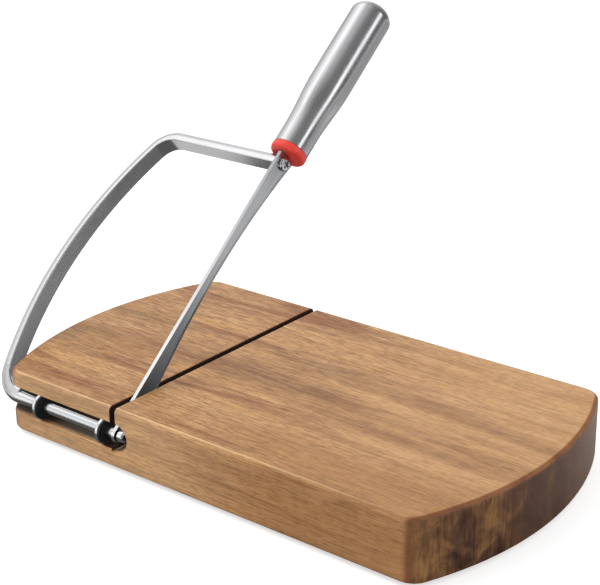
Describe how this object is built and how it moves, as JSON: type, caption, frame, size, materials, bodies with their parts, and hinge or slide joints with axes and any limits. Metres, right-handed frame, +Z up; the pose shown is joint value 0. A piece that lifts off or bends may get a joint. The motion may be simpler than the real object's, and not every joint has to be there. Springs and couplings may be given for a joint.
{
  "type": "cheese slicer board",
  "caption": "Thick wooden board with a slot and a blade on a hinged steel bow, which swings down into the slot by a round steel grip with a plastic collar.",
  "frame": {"origin": "middle of the board's flat underside; the rubber feet stand below it", "axes": "+X along the board toward the end away from the bow, +Y from the front edge, where the pivot is, to the back edge, +Z up; the frame is at rest half raised"},
  "size_m": [0.2745, 0.2046, 0.1826],
  "materials": {
    "board_wood": "oiled",
    "bow_steel": "satin",
    "blade_steel": "ground",
    "grip_steel": "brushed lengthwise",
    "ring_steel": "polished",
    "screw_steel": "polished",
    "spring_steel": "blackened",
    "washer_rubber": "matt",
    "foot_rubber": "matt",
    "collar_plastic": "satin gloss",
    "core_plastic": "moulded"
  },
  "bodies": {
    "board": {"board": "board_wood", "foot_front_left": "foot_rubber", "foot_front_right": "foot_rubber", "foot_back_left": "foot_rubber", "foot_back_right": "foot_rubber", "foot_screws": "screw_steel", "bearing_ring_left": "ring_steel", "bearing_ring_right": "ring_steel", "friction_washer_left": "washer_rubber", "friction_washer_right": "washer_rubber"},
    "frame": {"frame_bow": "bow_steel", "blade": "blade_steel", "frame_screw": "screw_steel", "axle_screw": "screw_steel", "spring_washer": "spring_steel", "handle_collar": "collar_plastic", "handle_core": "core_plastic", "handle_shell": "grip_steel"}
  },
  "joints": [
    {"name": "frame_hinge", "type": "hinge", "parent": "board", "child": "frame", "pos_m": [0, -0.0706, 0.0156], "axis": [1, 0, 0], "range_deg": [-39.4, 130]}
  ]
}
